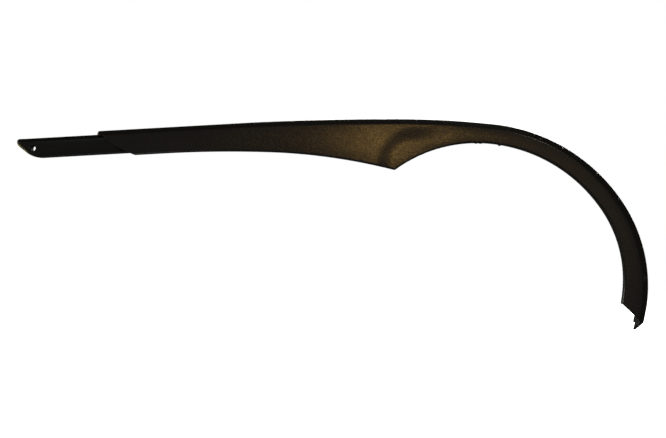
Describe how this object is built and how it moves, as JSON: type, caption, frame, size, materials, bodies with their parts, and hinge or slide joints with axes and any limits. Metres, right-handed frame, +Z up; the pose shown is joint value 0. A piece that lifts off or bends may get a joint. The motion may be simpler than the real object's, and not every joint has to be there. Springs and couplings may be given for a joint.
{
  "type": "bicycle chain guard",
  "caption": "Curved black chain guard that covers the upper chain run and hooks over the chainring, with a sliding rear extension.",
  "frame": {"origin": "midway between the mouths of the two upper bracket inserts, on the face the bracket bears on", "axes": "+X towards the front of the bicycle, +Y inboard towards the bicycle (the outer face looks along -Y), +Z up"},
  "size_m": [0.441, 0.0236, 0.149],
  "materials": {
    "black_plastic": "satin black moulded plastic with a fine grain",
    "black_plastic_tail": "satin black moulded plastic with a fine grain",
    "brass": "turned brass",
    "steel": "zinc-plated steel"
  },
  "bodies": {
    "guard": {"guard_shell": "black_plastic", "bracket_insert_rear": "brass", "bracket_insert_upper": "brass", "bracket_insert_front": "brass", "lock_insert_front": "brass", "lock_washer_front": "steel", "lock_screw_front": "steel", "lock_insert_rear": "brass", "lock_washer_rear": "steel", "lock_screw_rear": "steel"},
    "tail": {"tail_extension": "black_plastic_tail", "stay_sleeve": "steel"}
  },
  "joints": [
    {"name": "tail_slide", "type": "slide", "parent": "guard", "child": "tail", "axis": [-0.9984, 0, -0.0558], "range_m": [-0.015, 0.03]}
  ]
}
